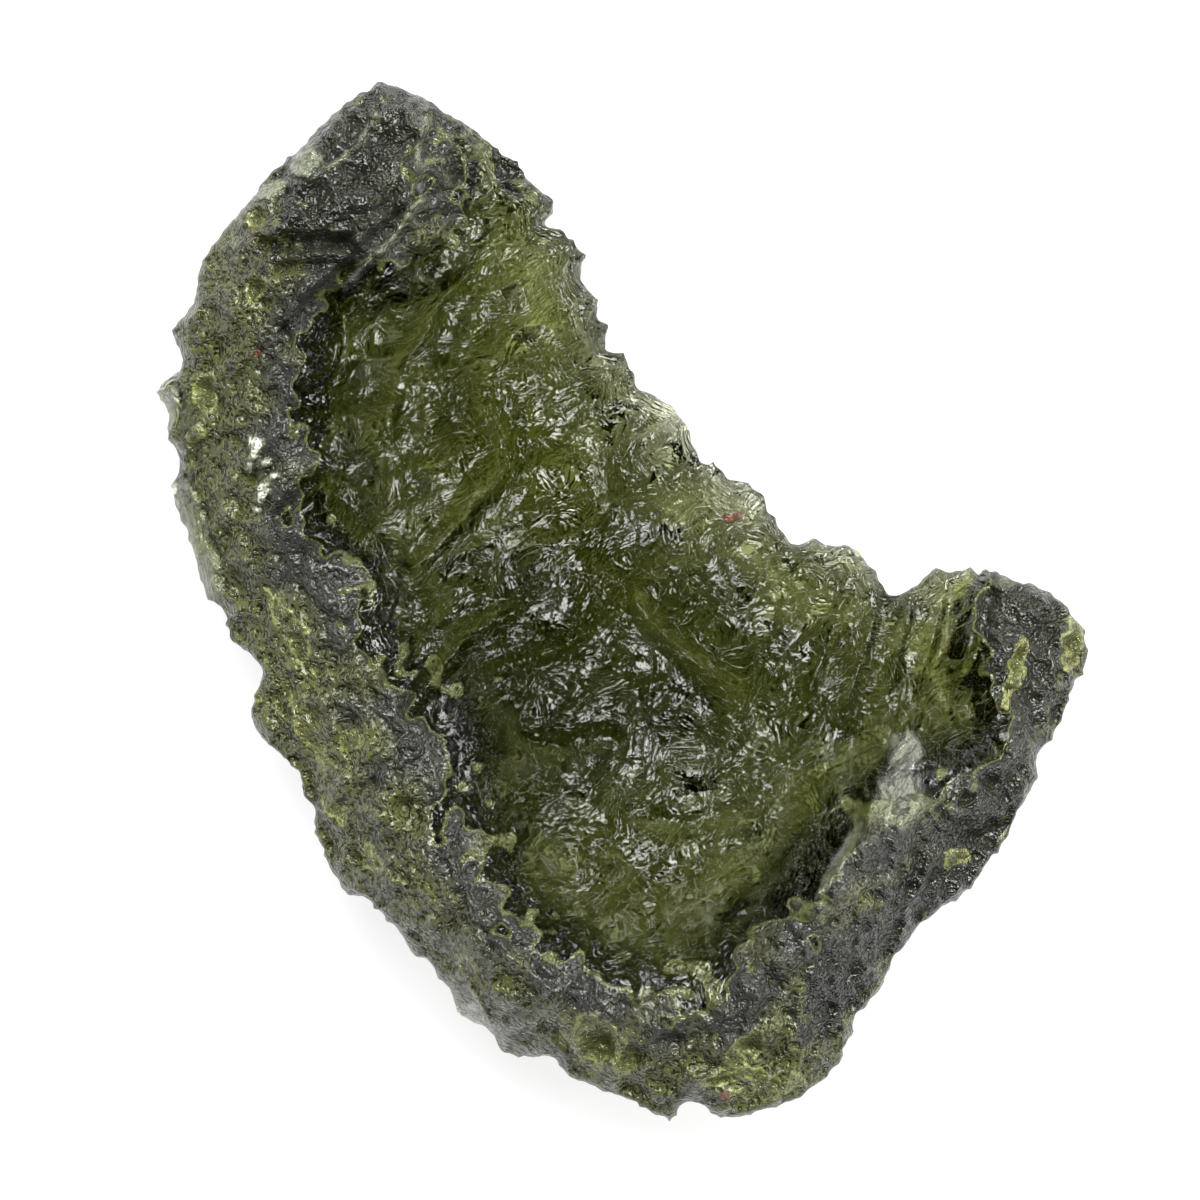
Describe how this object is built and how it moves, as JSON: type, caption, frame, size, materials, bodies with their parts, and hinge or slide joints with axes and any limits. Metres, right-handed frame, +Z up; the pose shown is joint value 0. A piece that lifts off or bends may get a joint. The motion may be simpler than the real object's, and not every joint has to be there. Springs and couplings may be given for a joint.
{
  "type": "moldavite",
  "caption": "Rough natural moldavite: a broken bowl of green glass with a wrinkled glossy hollow, a dull pitted rim and one thin clear edge.",
  "frame": {"origin": "middle of the stone's bounding box in plan, on the surface it lies on", "axes": "+Z up out of the hollow, towards the picture's camera; +Y towards the stone's pointed tip; +X towards the round lobe at its right"},
  "size_m": [0.0373, 0.0411, 0.0136],
  "materials": {
    "moldavite_glass": "rough natural olive-green glass, see-through where it is thin, glossy in the hollow and dull on the rim"
  },
  "bodies": {
    "root": {"moldavite": "moldavite_glass"}
  },
  "joints": []
}
